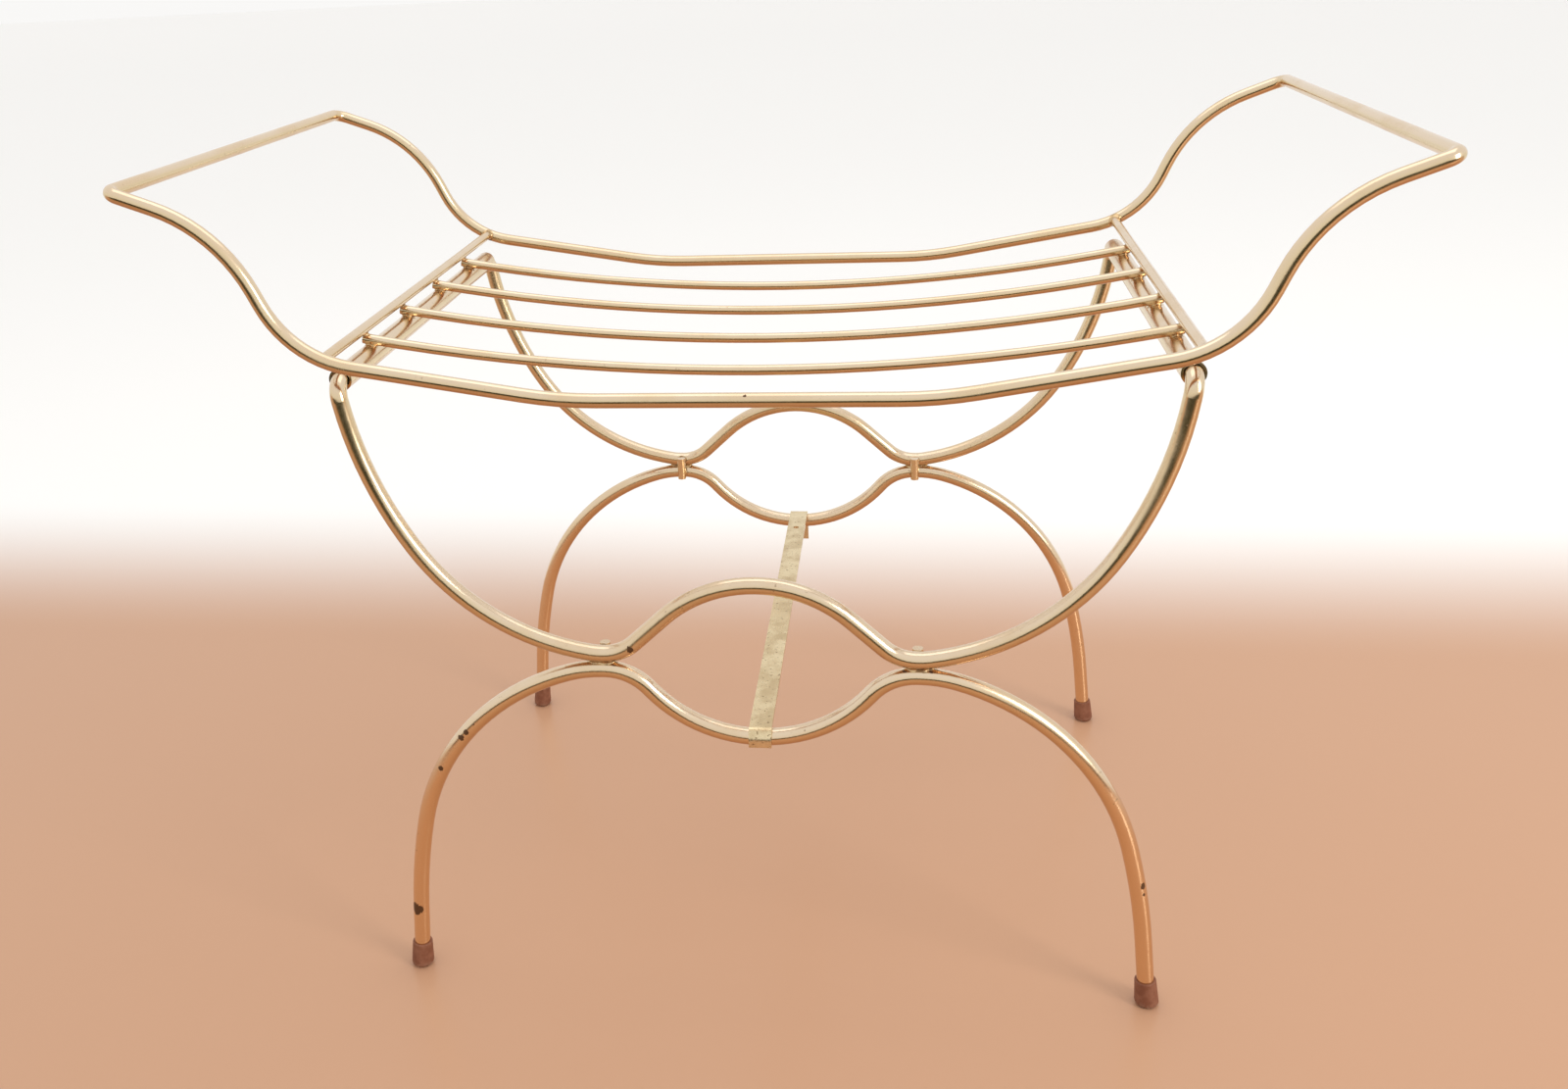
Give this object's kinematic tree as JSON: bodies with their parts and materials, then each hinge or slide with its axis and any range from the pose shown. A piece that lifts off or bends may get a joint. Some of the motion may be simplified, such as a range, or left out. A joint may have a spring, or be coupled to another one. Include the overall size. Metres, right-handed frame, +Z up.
{
  "type": "magazine rack",
  "caption": "Low bench-shaped magazine rack of brazed brass rod: sagging slats, upswept handles and curved leg frames with rubber feet.",
  "frame": {"origin": "on the floor, under the middle of the rack", "axes": "+X along the length towards the right handle, +Y from the front leg frame to the back one, +Z up"},
  "size_m": [0.678, 0.343, 0.4836],
  "materials": {
    "brass": "satin, lightly tarnished",
    "strap_brass": "dull, blotchy patina",
    "foot_rubber": "matte brown moulded rubber"
  },
  "bodies": {
    "root": {"front_rail": "brass", "back_rail": "brass", "left_cross_bar": "brass", "right_cross_bar": "brass", "slat_1": "brass", "slat_2": "brass", "slat_3": "brass", "slat_4": "brass", "left_socket_tube": "brass", "right_socket_tube": "brass", "front_leg_upper": "brass", "front_leg_lower": "brass", "back_leg_upper": "brass", "back_leg_lower": "brass", "front_left_tie_dowel": "brass", "front_right_tie_dowel": "brass", "back_left_tie_dowel": "brass", "back_right_tie_dowel": "brass", "strap_stretcher": "strap_brass", "front_left_foot_cap": "foot_rubber", "front_right_foot_cap": "foot_rubber", "back_left_foot_cap": "foot_rubber", "back_right_foot_cap": "foot_rubber"}
  },
  "joints": []
}
